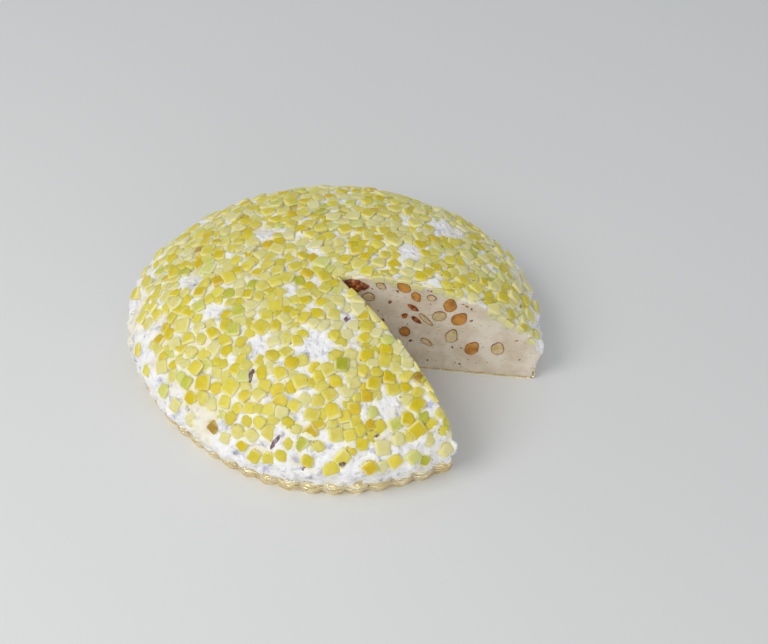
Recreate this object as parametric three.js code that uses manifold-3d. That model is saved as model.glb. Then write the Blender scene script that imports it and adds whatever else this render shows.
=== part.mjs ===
// A round market-stall nougat cake in its fluted gold paper case, with one wedge cut out.
// The nougat is a low dome that bulges over the case's rim. Dice of candied citron are pressed
// into its skin, and almonds show in both knife cuts.
// Millimetres, +Z up, the case's flat underside on Z = 0 and the round's centre on the Z axis.
import * as THREE from "three";
import { mergeVertices } from "three/addons/utils/BufferGeometryUtils.js";
import Module from "manifold-3d";

const wasm = await Module();
wasm.setup();
const DEG = Math.PI / 180;
const CLEARANCE = 0.3; // left between pieces that touch
const FLAT_WITHIN = 0.05; // triangles this close to one plane are merged

// ---- Driving dimensions of the nougat ----
const BELLY_RADIUS = 137.5; // its widest level
const BELLY_HEIGHT = 24;
const NOUGAT_HEIGHT = 79; // the bare skin at the centre
const TOP_FLATNESS = 2.8; // powers of the dome's outline
const SHOULDER_SOFTNESS = 1.32;
const SKIN_SEGMENTS = 44;
const SKIN_RINGS = 7;
// How far the nougat and its case swell from a true circle: [waves all round, mm, phase in degrees].
const SWELLS = [[2, 4.4, 56], [3, 1.3, -126], [4, 1.1, 89], [5, 0.8, -178], [6, 0.4, -163]];

// ---- The gold paper case ----
const FLUTES = 56;
const STEPS_A_FLUTE = 3;
const CREASE_RADIUS = 131.6; // where the wall folds in between two flutes
const FLUTE_DEPTH = 2.4;
const CASE_WALL_HEIGHT = 12;
const PAPER = 0.9;

// ---- The wedge that was cut out ----
const CUT_TIP = new THREE.Vector2(0.4, -13.2);
const RIGHT_CUT = -10.7; // directions of the two knife cuts, in degrees from +X
const LEFT_CUT = -56.1;
const KNIFE_REACH = 400;

// ---- The candied citron dice ----
const DICE = 338;
const DICE_LARGEST = 10;
const DICE_SMALLEST = 8;
const DICE_SPACING = 1.05; // least distance between centres, in dice
const DICE_SUNK = 0.2; // how far a die's centre lies under the skin, in dice
const DICE_LEAN = 20; // the most that a die leans, in degrees
const DICE_SKEW = 0.16; // how far its top strays to the side, in dice
const DICE_LOWEST = 20; // they stop short of the case, and thin out above it
const DICE_DENSE = 48;
const DICE_CUT_AWAY = 3; // a die whose centre lies deeper in the wedge went with it
// Where the skin stays bare: [x, y, radius].
const BARE_SPOTS = [
  [-44, 36, 9], [79, 45, 13], [51, 11, 9], [-98, 3, 9], [-81, -30, 7], [-29, -22, 7], [7, -50, 6],
  [-51, -63, 8], [-16, -70, 11], [9, -70, 7], [30, -107, 8], [55, -106, 6], [-121, -23, 8],
  [-131, 12, 7], [95, -34, 5], [63, -15, 5], [5, 38, 4], [50, 48, 5],
];
const BARE_MARGIN = 3.5; // dice stay this far off a bare spot's edge

// ---- Almonds in the cuts ----
const ALMOND_POINT = 0.3; // how much an almond narrows towards its tip
const ALMOND_THICKNESS = 0.42; // of its length, across the knife cut
// Along the cut from its tip, height, length, width and turn in degrees, then how far the almond's
// middle lies behind the cut. A whole one wasn't sliced: it stands out of the cut in its skin.
const RIGHT_ALMONDS = [
  { along: 12.4, up: 72, length: 19.6, width: 11.4, turn: -6, behind: 1.5, whole: true },
  { along: 29.9, up: 73.4, length: 9.5, width: 6.5, turn: -30, behind: 0.8 },
  { along: 44.7, up: 73.9, length: 12, width: 9, turn: -35, behind: 0.8 },
  { along: 21.2, up: 63, length: 10.5, width: 8.5, turn: 5, behind: 0.8 },
  { along: 53.1, up: 66.3, length: 10, width: 7.6, turn: -60, behind: 0.8 },
  { along: 63.4, up: 66.8, length: 8.6, width: 6.8, turn: -5, behind: 0.8 },
  { along: 75.6, up: 61.6, length: 13.5, width: 10, turn: 80, behind: 0.8 },
  { along: 68.5, up: 50.6, length: 12, width: 10.4, turn: 30, behind: 0.8 },
  { along: 82.2, up: 50, length: 15, width: 11, turn: 50, behind: 0.8 },
  { along: 59.9, up: 46.6, length: 14, width: 4.6, turn: -47, behind: 0.4 },
  { along: 51, up: 56.5, length: 10, width: 4.4, turn: -35, behind: 0.4, brown: true },
  { along: 53.5, up: 45.6, length: 9.5, width: 4.6, turn: -42, behind: 0.4, brown: true },
  { along: 45.5, up: 48.5, length: 6, width: 4.6, turn: 55, behind: 0.4, brown: true },
  { along: 45.8, up: 34.1, length: 11, width: 9.2, turn: 85, behind: 0.8 },
];
const RIGHT_SEEDED = 7; // more almonds, wherever the draw finds room in a cut
const LEFT_SEEDED = 13;
const ALMOND_LENGTHS = [11, 20];
const ALMOND_GAP = 3.5; // least nougat between two of these, and round the edge of a cut

const COLOURS = {
  nougat: { color: 0xf1efe8, roughness: 0.75, metalness: 0 },
  case: { color: 0xc9a45c, roughness: 0.35, metalness: 0.85 },
  flesh: { color: 0xd9ad66, roughness: 0.6, metalness: 0 },
  skin: { color: 0x6f3413, roughness: 0.7, metalness: 0 },
};

// A seeded draw, the same on every run: numbers from 0 to 1.
function drawer(seed) {
  let state = seed;
  return () => {
    state = (state * 1664525 + 1013904223) % 4294967296;
    return state / 4294967296;
  };
}

const between = (low, high, share) => low + (high - low) * share;
const direction = (degrees) => new THREE.Vector2(Math.cos(degrees * DEG), Math.sin(degrees * DEG));

// ---- Joining and cutting ----
function solidOf(geometry) {
  const bare = geometry.index ? geometry.toNonIndexed() : geometry.clone();
  bare.deleteAttribute("normal");
  bare.deleteAttribute("uv");
  const merged = mergeVertices(bare, 1e-4);
  return new wasm.Manifold(
    new wasm.Mesh({
      numProp: 3,
      vertProperties: merged.attributes.position.array,
      triVerts: new Uint32Array(merged.index.array),
    }),
  );
}

function geometryOf(solid) {
  const mesh = solid.getMesh();
  const geometry = new THREE.BufferGeometry();
  geometry.setAttribute("position", new THREE.BufferAttribute(mesh.vertProperties, 3));
  geometry.setIndex(new THREE.BufferAttribute(mesh.triVerts, 1));
  return geometry;
}

// A solid's largest body, with flat faces in as few triangles as they need.
function tidied(solid) {
  const lean = solid.asOriginal().simplify(FLAT_WITHIN);
  return lean.decompose().reduce((a, b) => (a.volume() > b.volume() ? a : b));
}

function mesh(name, solid, finish) {
  const geometry = geometryOf(solid).toNonIndexed();
  geometry.computeVertexNormals();
  const made = new THREE.Mesh(geometry, new THREE.MeshStandardMaterial(COLOURS[finish]));
  made.name = name;
  return made;
}

// ---- The nougat's outline, from the centre of the top down to the belly ----
function domePoint(turn) {
  return new THREE.Vector2(
    BELLY_RADIUS * Math.sin(turn) ** (2 / TOP_FLATNESS),
    BELLY_HEIGHT + (NOUGAT_HEIGHT - BELLY_HEIGHT) * Math.max(0, Math.cos(turn)) ** (2 / SHOULDER_SOFTNESS),
  );
}

// The side under the belly tucks in over the case's rim, which it covers.
const RIM_TOP = CASE_WALL_HEIGHT + CLEARANCE;
const OVERHANG_RADIUS = CREASE_RADIUS + FLUTE_DEPTH + 0.6;
function sidePoint(share) {
  const tuck = Math.sqrt(1 - share * share);
  return new THREE.Vector2(
    between(OVERHANG_RADIUS, BELLY_RADIUS, tuck),
    between(BELLY_HEIGHT, RIM_TOP, share),
  );
}

// How many times wider than a true circle the outline is, this way from the centre.
function swell(angle) {
  const wave = ([waves, size, phase]) => size * Math.cos(waves * angle + phase * DEG);
  return 1 + SWELLS.reduce((sum, entry) => sum + wave(entry), 0) / BELLY_RADIUS;
}

function nougatBody() {
  const footRadius = CREASE_RADIUS - PAPER - CLEARANCE;
  const floor = PAPER + CLEARANCE;
  const foot = [[0, floor], [footRadius, floor], [footRadius, RIM_TOP]];
  const outline = foot.map(([x, y]) => new THREE.Vector2(x, y));
  for (const share of [1, 0.55]) outline.push(sidePoint(share));
  for (let ring = SKIN_RINGS; ring > 0; ring--) outline.push(domePoint((ring / SKIN_RINGS) * 90 * DEG));
  outline.push(new THREE.Vector2(0, NOUGAT_HEIGHT));
  const geometry = new THREE.LatheGeometry(outline, SKIN_SEGMENTS);
  geometry.rotateX(90 * DEG);
  const at = geometry.attributes.position;
  for (let i = 0; i < at.count; i++) {
    const grown = swell(Math.atan2(at.getY(i), at.getX(i)));
    at.setXY(i, at.getX(i) * grown, at.getY(i) * grown);
  }
  return solidOf(geometry);
}

// ---- Places on the skin ----
// The outline in short steps, with the distance run so far, so that a place can be drawn evenly.
const OUTLINE_STEPS = 240;
function skinOutline() {
  const steps = [];
  let run = 0;
  for (let i = 0; i <= OUTLINE_STEPS; i++) {
    const point = domePoint((i / OUTLINE_STEPS) * 90 * DEG);
    if (i) run += point.distanceTo(steps[i - 1].point);
    steps.push({ point, run });
  }
  for (let i = 1; i <= OUTLINE_STEPS / 4; i++) {
    const point = sidePoint((i / OUTLINE_STEPS) * 4 * 0.98);
    run += point.distanceTo(steps[steps.length - 1].point);
    steps.push({ point, run });
  }
  return steps;
}
const OUTLINE = skinOutline();
const OUTLINE_LENGTH = OUTLINE[OUTLINE.length - 1].run;

// The point of the skin that lies `run` millimetres down the outline, and the way it faces.
function skinAt(run, angle) {
  const next = Math.max(1, OUTLINE.findIndex((step) => step.run >= run));
  const [a, b] = [OUTLINE[next - 1], OUTLINE[next]];
  const point = a.point.clone().lerp(b.point, (run - a.run) / (b.run - a.run));
  const slope = b.point.clone().sub(a.point).normalize();
  const radius = point.x * swell(angle);
  return {
    place: new THREE.Vector3(radius * Math.cos(angle), radius * Math.sin(angle), point.y),
    facing: new THREE.Vector3(-slope.y * Math.cos(angle), -slope.y * Math.sin(angle), slope.x),
    ringShare: point.x / BELLY_RADIUS, // a ring further out has room for more
  };
}

// ---- Candied citron dice ----
function isBare(place) {
  return BARE_SPOTS.some(([x, y, radius]) => Math.hypot(place.x - x, place.y - y) < radius + BARE_MARGIN);
}

// How far inside the wedge a place lies: the knife took only the near part of a die that it crossed.
function depthInWedge(place) {
  const fromTip = new THREE.Vector2(place.x, place.y).sub(CUT_TIP);
  return Math.min(fromTip.cross(direction(RIGHT_CUT)), -fromTip.cross(direction(LEFT_CUT)));
}

// A die is a block with flat faces, a little off square, that leans as it fell.
function die({ size, place, facing }, draw) {
  const [length, width, height] = [1, 1, 1].map(() => size * between(0.88, 1.08, draw()));
  const geometry = new THREE.BoxGeometry(length, width, height);
  const [skewX, skewY] = [draw(), draw()].map((share) => between(-DICE_SKEW, DICE_SKEW, share));
  geometry.applyMatrix4(new THREE.Matrix4().set(1, 0, skewX, 0, 0, 1, skewY, 0, 0, 0, 1, 0, 0, 0, 0, 1));
  geometry.rotateZ(draw() * 90 * DEG);
  const leanWay = draw() * 2 * Math.PI;
  const axis = new THREE.Vector3(Math.cos(leanWay), Math.sin(leanWay), 0);
  const lean = new THREE.Quaternion().setFromAxisAngle(axis, draw() * DICE_LEAN * DEG);
  const up = new THREE.Vector3(0, 0, 1);
  geometry.applyQuaternion(new THREE.Quaternion().setFromUnitVectors(up, facing).multiply(lean));
  const middle = place.clone().addScaledVector(facing, -DICE_SUNK * size);
  geometry.translate(middle.x, middle.y, middle.z);
  return solidOf(geometry);
}

function scatterDice() {
  const draw = drawer(20241);
  const placed = [];
  for (let tries = 0; placed.length < DICE && tries < DICE * 60; tries++) {
    const size = between(DICE_LARGEST, DICE_SMALLEST, placed.length / DICE);
    const { place, facing, ringShare } = skinAt(draw() * OUTLINE_LENGTH, (draw() * 2 - 1) * Math.PI);
    const cover = THREE.MathUtils.smoothstep(place.z, DICE_LOWEST, DICE_DENSE);
    if (draw() > ringShare * cover || isBare(place) || depthInWedge(place) > DICE_CUT_AWAY) continue;
    const near = (other) => other.place.distanceTo(place) < (DICE_SPACING * (other.size + size)) / 2;
    if (!placed.some(near)) placed.push({ place, facing, size });
  }
  const shape = drawer(309);
  return placed.map((block) => die(block, shape));
}

// ---- The knife ----
function wedge() {
  const far = [LEFT_CUT, (LEFT_CUT + RIGHT_CUT) / 2, RIGHT_CUT].map((degrees) =>
    direction(degrees).multiplyScalar(KNIFE_REACH).add(CUT_TIP));
  const slice = new THREE.Shape([CUT_TIP, ...far]);
  const geometry = new THREE.ExtrudeGeometry(slice, { depth: KNIFE_REACH, bevelEnabled: false });
  geometry.translate(0, 0, -KNIFE_REACH / 2);
  return solidOf(geometry);
}

// ---- Almonds in the cuts ----
// An almond lies in the plane of its cut: x along the cut, y out of it, z up.
function almondSolid({ along, up, length, width, turn, behind }, cut, grown) {
  const geometry = new THREE.SphereGeometry(1, 7, 4);
  geometry.rotateZ(90 * DEG); // the poles become the two ends
  const at = geometry.attributes.position;
  for (let i = 0; i < at.count; i++) {
    const narrow = 1 - ALMOND_POINT * Math.max(0, at.getX(i));
    at.setXYZ(i, at.getX(i), at.getY(i) * narrow, at.getZ(i) * narrow);
  }
  geometry.scale(length / 2 + grown, (length * ALMOND_THICKNESS) / 2 + grown, width / 2 + grown);
  geometry.rotateY(-turn * DEG);
  geometry.translate(along, behind * cut.side, up);
  geometry.rotateZ(cut.degrees * DEG);
  geometry.translate(CUT_TIP.x, CUT_TIP.y, 0);
  return solidOf(geometry);
}

// The height of the skin over a point of a cut.
function skinHeight(along, cut) {
  const point = direction(cut.degrees).multiplyScalar(along).add(CUT_TIP);
  const radius = point.length() / swell(point.angle());
  const turn = Math.asin(Math.min(1, radius / BELLY_RADIUS) ** (TOP_FLATNESS / 2));
  return domePoint(turn).y;
}

function clearOfEdges({ along, up, length }, cut) {
  const reach = length / 2 + ALMOND_GAP;
  return along > reach && up - reach > CASE_WALL_HEIGHT
    && up + reach < Math.min(skinHeight(along + reach, cut), skinHeight(along, cut)) - DICE_SMALLEST / 2;
}

function seededAlmonds(listed, count, cut, seed) {
  const draw = drawer(seed);
  const found = [...listed];
  for (let tries = 0; found.length < listed.length + count && tries < 20000; tries++) {
    const length = between(...ALMOND_LENGTHS, draw());
    const almond = {
      along: draw() * BELLY_RADIUS,
      up: draw() * NOUGAT_HEIGHT,
      length,
      width: length * between(0.5, 0.75, draw()),
      turn: between(-90, 90, draw()),
      behind: between(0, 1.6, draw()),
      whole: draw() < 0.15,
    };
    const near = ({ along, up, length: its }) =>
      Math.hypot(along - almond.along, up - almond.up) < (its + length) * 0.4 + ALMOND_GAP;
    if (!found.some(near) && clearOfEdges(almond, cut)) found.push(almond);
  }
  return found;
}

// `side` is the local direction that leads from the cut into the nougat.
const CUTS = [
  { name: "right", degrees: RIGHT_CUT, side: 1, almonds: RIGHT_ALMONDS, seeded: RIGHT_SEEDED, seed: 601 },
  { name: "left", degrees: LEFT_CUT, side: -1, almonds: [], seeded: LEFT_SEEDED, seed: 5208 },
];

// ---- The gold paper case ----
function fluteOut(angle) {
  return FLUTE_DEPTH * Math.abs(Math.sin((FLUTES * angle) / 2)) ** 0.8;
}

function paperCase() {
  const outline = [
    [0, 0], [CREASE_RADIUS, 0], [CREASE_RADIUS, CASE_WALL_HEIGHT],
    [CREASE_RADIUS - PAPER, CASE_WALL_HEIGHT], [CREASE_RADIUS - PAPER, PAPER], [0, PAPER],
  ].map(([x, y]) => new THREE.Vector2(x, y));
  const geometry = new THREE.LatheGeometry(outline, FLUTES * STEPS_A_FLUTE);
  geometry.rotateX(90 * DEG);
  const at = geometry.attributes.position;
  for (let i = 0; i < at.count; i++) {
    const radius = Math.hypot(at.getX(i), at.getY(i));
    if (radius < 1) continue;
    const angle = Math.atan2(at.getY(i), at.getX(i));
    const fluted = (swell(angle) * (radius + fluteOut(angle))) / radius;
    at.setXY(i, at.getX(i) * fluted, at.getY(i) * fluted);
  }
  return solidOf(geometry);
}

// ---- Putting it together ----
const knife = wedge();
const cake = new THREE.Group();
cake.add(mesh("paper_case", tidied(paperCase().subtract(knife)), "case"));

let nougat = wasm.Manifold.union([nougatBody(), ...scatterDice()]).subtract(knife);
for (const cut of CUTS) {
  const almonds = seededAlmonds(cut.almonds, cut.seeded, cut, cut.seed);
  almonds.forEach((almond, i) => {
    const whole = almondSolid(almond, cut, 0);
    const shown = almond.whole ? whole : tidied(whole.subtract(knife));
    nougat = nougat.subtract(almondSolid(almond, cut, CLEARANCE));
    const name = `almond_${cut.name}_${String(i + 1).padStart(2, "0")}`;
    cake.add(mesh(name, shown, almond.whole || almond.brown ? "skin" : "flesh"));
  });
}
cake.add(mesh("nougat", tidied(nougat), "nougat"));

// The swells aren't even on all sides: the origin moves to the middle of the footprint.
const extent = new THREE.Box3().setFromObject(cake);
cake.position.set(-(extent.min.x + extent.max.x) / 2, -(extent.min.y + extent.max.y) / 2, 0);

export default cake;
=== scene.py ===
# A round market-stall nougat cake in its fluted gold paper case, with one wedge cut out.
# Metres, +Z up. Lengths are given in millimetres, and MM turns them into metres.
import math
import random
import bmesh
import bpy
from mathutils import Matrix, Quaternion, Vector
from mathutils.kdtree import KDTree


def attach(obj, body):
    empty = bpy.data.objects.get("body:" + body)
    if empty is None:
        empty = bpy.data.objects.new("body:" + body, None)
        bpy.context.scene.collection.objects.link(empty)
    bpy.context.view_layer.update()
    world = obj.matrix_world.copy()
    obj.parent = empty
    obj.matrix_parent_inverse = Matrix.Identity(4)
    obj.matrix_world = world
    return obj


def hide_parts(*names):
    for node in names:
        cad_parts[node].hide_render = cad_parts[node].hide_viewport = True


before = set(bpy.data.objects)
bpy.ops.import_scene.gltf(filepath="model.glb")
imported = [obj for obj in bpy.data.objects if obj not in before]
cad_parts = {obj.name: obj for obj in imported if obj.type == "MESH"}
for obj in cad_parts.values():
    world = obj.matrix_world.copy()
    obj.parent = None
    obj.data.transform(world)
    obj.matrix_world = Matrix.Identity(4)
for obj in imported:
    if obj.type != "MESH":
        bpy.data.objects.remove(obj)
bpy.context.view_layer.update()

MM = 0.001


# ---- The gold paper case ----
# A shallow cup pressed from card that is faced with gold foil. Its wall is waved into 56 rounded
# flutes with narrow creases between them, and the knife went through it together with the nougat.
# The round isn't quite round, so its middle stands a little off the frame's.
MIDDLE = Vector((-0.0272, -0.2624, 0)) * MM
BELLY_RADIUS = 137.5
SWELLS = [(2, 4.4, 56), (3, 1.3, -126), (4, 1.1, 89), (5, 0.8, -178), (6, 0.4, -163)]
FLUTES = 56
STEPS_A_FLUTE = 8
CREASE_RADIUS = 131.6 * MM
FLUTE_DEPTH = 2.4 * MM
FULL_LOBE, NARROW_LOBE = 0.8, 2
CARD = 0.8 * MM
# Levels of the wall: [height, how far the wall bulges there].
CASE_LEVELS = [(0.9, -0.4), (3, 0.6), (5.5, 1), (8.5, 0.4), (11.6, -0.6)]
CASE_RIM_FROM = 11 * MM
CREASE_RAISED = 0.9
LOBE_PRESSED = 1.3
CASE_FLOOR_BELOW = 0.1 * MM
CASE_FLOOR_RINGS = [0.985, 0.6, 0.2]
CASE_WALL_FROM = (0.5 * MM, 4 * MM)
# Dents that handling left in the wall: [size, height].
CASE_DENTS = [(9 * MM, 0.9 * MM), (2.6 * MM, 0.35 * MM)]
# How narrow the painted shade in the creases is.
CREASE_SHADE_NARROWNESS = 3
CASE_SHARP_DEGREES = 48


def take(*pieces):
    """Selects these pieces and nothing else, and makes the first of them active."""
    bpy.ops.object.select_all(action="DESELECT")
    for piece in pieces:
        piece.select_set(True)
    bpy.context.view_layer.objects.active = pieces[0]


def start_shaping(piece):
    """Opens one piece for shaping, with nothing selected."""
    take(piece)
    bpy.ops.object.mode_set(mode="EDIT")
    bpy.ops.mesh.select_all(action="DESELECT")


def stop_shaping():
    bpy.ops.object.mode_set(mode="OBJECT")


def pick(test, kind="verts"):
    """Selects the corners, edges or faces that the test says yes to, and nothing else."""
    mesh = bpy.context.edit_object.data
    shape = bmesh.from_edit_mesh(mesh)
    shape.select_mode = {{"verts": "VERT", "edges": "EDGE", "faces": "FACE"}[kind]}
    for part in (*shape.faces, *shape.edges, *shape.verts):
        part.select_set(False)
    for part in getattr(shape, kind):
        if test(part):
            part.select_set(True)
    shape.select_flush_mode()
    bmesh.update_edit_mesh(mesh, loop_triangles=False, destructive=False)


def widen(factor):
    """Makes what is selected wider or narrower about the middle of the round."""
    bpy.ops.transform.resize(value=(factor, factor, 1), center_override=MIDDLE)


def raise_ring(height):
    """Adds one more ring above the one that is selected."""
    bpy.ops.mesh.extrude_region_move(TRANSFORM_OT_translate={"value": (0, 0, height)})


def angle_of(place):
    return math.atan2(place.y - MIDDLE.y, place.x - MIDDLE.x)


def radius_of(place):
    return math.hypot(place.x - MIDDLE.x, place.y - MIDDLE.y)


def each_spoke(count):
    """Selects the corners of each spoke of the round in turn, and gives the spoke's angle."""
    shape = bmesh.from_edit_mesh(bpy.context.edit_object.data)
    spokes = {}
    for vertex in shape.verts:
        vertex.select_set(False)
        if radius_of(vertex.co) > MM:
            spokes.setdefault(round(angle_of(vertex.co) / math.tau * count) % count, []).append(vertex)
    for spoke, corners in spokes.items():
        for vertex in corners:
            vertex.select_set(True)
        shape.select_flush_mode()
        yield spoke / count * math.tau
        for vertex in corners:
            vertex.select_set(False)
        shape.select_flush_mode()


def swell(angle):
    """How many times wider than a true circle the round is, this way from its middle."""
    swells = (size * math.cos(count * angle + math.radians(phase)) for count, size, phase in SWELLS)
    return 1 + sum(swells) / BELLY_RADIUS


def flute_step(place):
    """Which of a flute's steps a place is at: 0 is a crease, the middle step is a lobe's crest."""
    return round(angle_of(place) / math.tau * FLUTES * STEPS_A_FLUTE) % STEPS_A_FLUTE


def flute_out(step):
    """How far a flute stands out at one of its steps: halfway between a full and a narrow lobe."""
    lobe = math.sin(math.pi * step / STEPS_A_FLUTE)
    return FLUTE_DEPTH * (lobe ** FULL_LOBE + lobe ** NARROW_LOBE) / 2


def put_through(piece, kind, **settings):
    """Finishes a piece with one modifier."""
    take(piece)
    bpy.ops.object.modifier_add(type=kind)
    modifier = piece.modifiers[-1]
    for name, value in settings.items():
        setattr(modifier, name, value)
    bpy.ops.object.modifier_apply(modifier=modifier.name)


def relief(piece, pattern, grain, height, where="", mid_level=0.5, **settings):
    """Raises and lowers a surface by a cloudy pattern: the size of its grain, then its height."""
    texture = bpy.data.textures.new(f"{piece.name} {pattern.lower()}", pattern)
    texture.noise_scale = grain
    for name, value in settings.items():
        setattr(texture, name, value)
    put_through(piece, "DISPLACE", texture=texture, texture_coords="LOCAL", strength=height,
                mid_level=mid_level, vertex_group=where)


def share_out(piece, name, weight):
    """Marks where a relief works, from 0 to 1 at each corner."""
    group = piece.vertex_groups.new(name=name)
    for vertex in piece.data.vertices:
        group.add([vertex.index], weight(vertex), "REPLACE")


def mark(piece, name, values):
    """Writes a number at each corner of a piece, for its finish to read."""
    piece.data.attributes.new(name, "FLOAT", "POINT").data.foreach_set("value", values)


def rise(value, low, high):
    """Goes smoothly from 0 to 1 as the value goes from low to high."""
    share = min(1, max(0, (value - low) / (high - low)))
    return share * share * (3 - 2 * share)


# The knife went in along two planes that meet upright near the middle of the round.
CUT_TIP = MIDDLE + Vector((0.4, -13.2, 0)) * MM
CUT_DEGREES = {"right": -10.7, "left": -56.1}
KNIFE_SIZE = 700 * MM
along_cut = {side: Vector((math.cos(math.radians(turn)), math.sin(math.radians(turn)), 0))
             for side, turn in CUT_DEGREES.items()}
# The way that each cut's face looks, into the gap.
into_gap = {"right": along_cut["right"].cross(Vector((0, 0, 1))),
            "left": Vector((0, 0, 1)).cross(along_cut["left"])}


def depth_in_gap(place):
    """How far inside the gap a place lies; less than nothing in the cake."""
    return min((place - CUT_TIP).dot(facing) for facing in into_gap.values())


bpy.ops.mesh.primitive_cube_add(size=KNIFE_SIZE, location=CUT_TIP)
knife = bpy.context.object
knife.name = "knife"
start_shaping(knife)
for facing in into_gap.values():
    bpy.ops.mesh.select_all(action="SELECT")
    bpy.ops.mesh.bisect(plane_co=CUT_TIP, plane_no=facing, use_fill=True, clear_inner=True)
stop_shaping()


def cut_wedge(piece):
    put_through(piece, "BOOLEAN", operation="DIFFERENCE", solver="EXACT", object=knife)


bpy.ops.mesh.primitive_circle_add(vertices=FLUTES * STEPS_A_FLUTE, radius=CREASE_RADIUS, location=MIDDLE)
case = bpy.context.object
case.name = "gold_paper_case"
bpy.ops.object.transform_apply()
start_shaping(case)
for step in range(STEPS_A_FLUTE):
    pick(lambda vertex: flute_step(vertex.co) == step)
    widen(1 + flute_out(step) / CREASE_RADIUS)
bpy.ops.mesh.select_all(action="SELECT")
level, lean = 0, CASE_LEVELS[0][1]
for height, leans in CASE_LEVELS:
    raise_ring((height - level) * MM)
    widen(1 + (leans - lean) * MM / CREASE_RADIUS)
    level, lean = height, leans
# The rim isn't even: creases stand a little higher, and the lobes are pressed down by the nougat.
for step in range(STEPS_A_FLUTE):
    pick(lambda vertex: vertex.co.z > CASE_RIM_FROM and flute_step(vertex.co) == step)
    higher = (CREASE_RAISED - LOBE_PRESSED * math.sin(math.pi * step / STEPS_A_FLUTE)) * MM
    bpy.ops.transform.translate(value=(0, 0, higher))
for angle in each_spoke(FLUTES * STEPS_A_FLUTE):
    widen(swell(angle))
pick(lambda vertex: vertex.co.z < CASE_FLOOR_BELOW)
share_before = 1
for share in CASE_FLOOR_RINGS:
    raise_ring(0)
    widen(share / share_before)
    share_before = share
bpy.ops.mesh.merge(type="CENTER")
bpy.ops.mesh.select_all(action="SELECT")
bpy.ops.mesh.normals_make_consistent(inside=False)
stop_shaping()
share_out(case, "wall", lambda vertex: rise(vertex.co.z, *CASE_WALL_FROM))
# Painted shade: how deep in a crease each corner lies, for the foil to be darkened by.
mark(case, "crease", [(1 - flute_out(flute_step(vertex.co)) / FLUTE_DEPTH) ** CREASE_SHADE_NARROWNESS
                      for vertex in case.data.vertices])
for size, height in CASE_DENTS:
    relief(case, "CLOUDS", size, height, "wall")
put_through(case, "SOLIDIFY", thickness=CARD, offset=-1)
cut_wedge(case)
bpy.ops.object.shade_smooth_by_angle(angle=math.radians(CASE_SHARP_DEGREES))


def paint(red, green, blue):
    """A colour as it looks, 0 to 255, as the light that it throws back."""
    light = (((part / 255 + 0.055) / 1.055) ** 2.4 if part > 10 else part / 255 / 12.92
             for part in (red, green, blue))
    return (*light, 1)


class Shade:
    """One socket of a finish's nodes. Sums and products of shades add the nodes that work them out."""

    def __init__(self, nodes, socket):
        self.nodes, self.socket = nodes, socket

    def node(self, kind, settings=None, sockets=None, out=0):
        """Adds a node: its settings are set first, then the values or links of its sockets."""
        made = self.nodes.nodes.new("ShaderNode" + kind)
        for name, value in (settings or {}).items():
            if name == "stops":
                for stop in list(made.color_ramp.elements)[1:]:
                    made.color_ramp.elements.remove(stop)
                for number, (place, colour) in enumerate(value):
                    stop = made.color_ramp.elements[0] if number == 0 else made.color_ramp.elements.new(place)
                    stop.position, stop.color = place, colour
            else:
                setattr(made, name, value)
        for name, value in (sockets or {}).items():
            if isinstance(value, Shade):
                self.nodes.links.new(value.socket, made.inputs[name])
            else:
                made.inputs[name].default_value = value
        return Shade(self.nodes, made.outputs[out] if made.outputs else None)

    def __add__(self, other):
        return self.node("Math", {"operation": "ADD"}, {0: self, 1: other})

    def __mul__(self, other):
        return self.node("Math", {"operation": "MULTIPLY"}, {0: self, 1: other})

    __radd__, __rmul__ = __add__, __mul__

    def marked(self, name):
        """The number that was marked on the surface under this name."""
        return self.node("Attribute", {"attribute_name": name}, out=2)

    def noise(self, grain, detail=4, roughness=0.55, **settings):
        """Cloudy noise at this place, in grains of this size."""
        return self.node("TexNoise", settings,
                         {"Vector": self, "Scale": 1 / grain, "Detail": detail, "Roughness": roughness})

    def cells(self, size, feature):
        """How far it is from here to a cell's middle (F1), or to its edge, in cells of this size."""
        return self.node("TexVoronoi", {"feature": feature}, {"Vector": self, "Scale": 1 / size})

    def stretched(self, height):
        """This place, with its heights made larger or smaller."""
        return self.node("Mapping", None, {"Vector": self, "Scale": (1, 1, height)})

    def step(self, low, high):
        """Goes smoothly from 0 to 1 as this shade goes from low to high."""
        return self.node("MapRange", {"interpolation_type": "SMOOTHSTEP"},
                         {"Value": self, "From Min": low, "From Max": high})

    def blend(self, first, second):
        """The first colour where this shade is 0, the second where it is 1."""
        return self.node("Mix", {"data_type": "RGBA"}, {0: self, 6: first, 7: second}, 2)

    def bump(self, height, under=None):
        """The surface, raised by this shade times a height."""
        sockets = {"Height": self, "Distance": height}
        if under:
            sockets["Normal"] = under
        return self.node("Bump", None, sockets)


def new_finish(name):
    """An empty finish: the material, the place on the surface, and a call that gives it its shader."""
    material = bpy.data.materials.new(name)
    material.use_nodes = True
    tree = material.node_tree
    tree.nodes.clear()
    place = Shade(tree, None).node("TexCoord", out=3)

    def shader(**sockets):
        sockets = {name.replace("_", " "): value for name, value in sockets.items()}
        place.node("OutputMaterial", None, {"Surface": place.node("BsdfPrincipled", None, sockets)})
        return material

    return place, shader


def wear(piece, *materials):
    piece.data.materials.clear()
    for material in materials:
        piece.data.materials.append(material)
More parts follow.
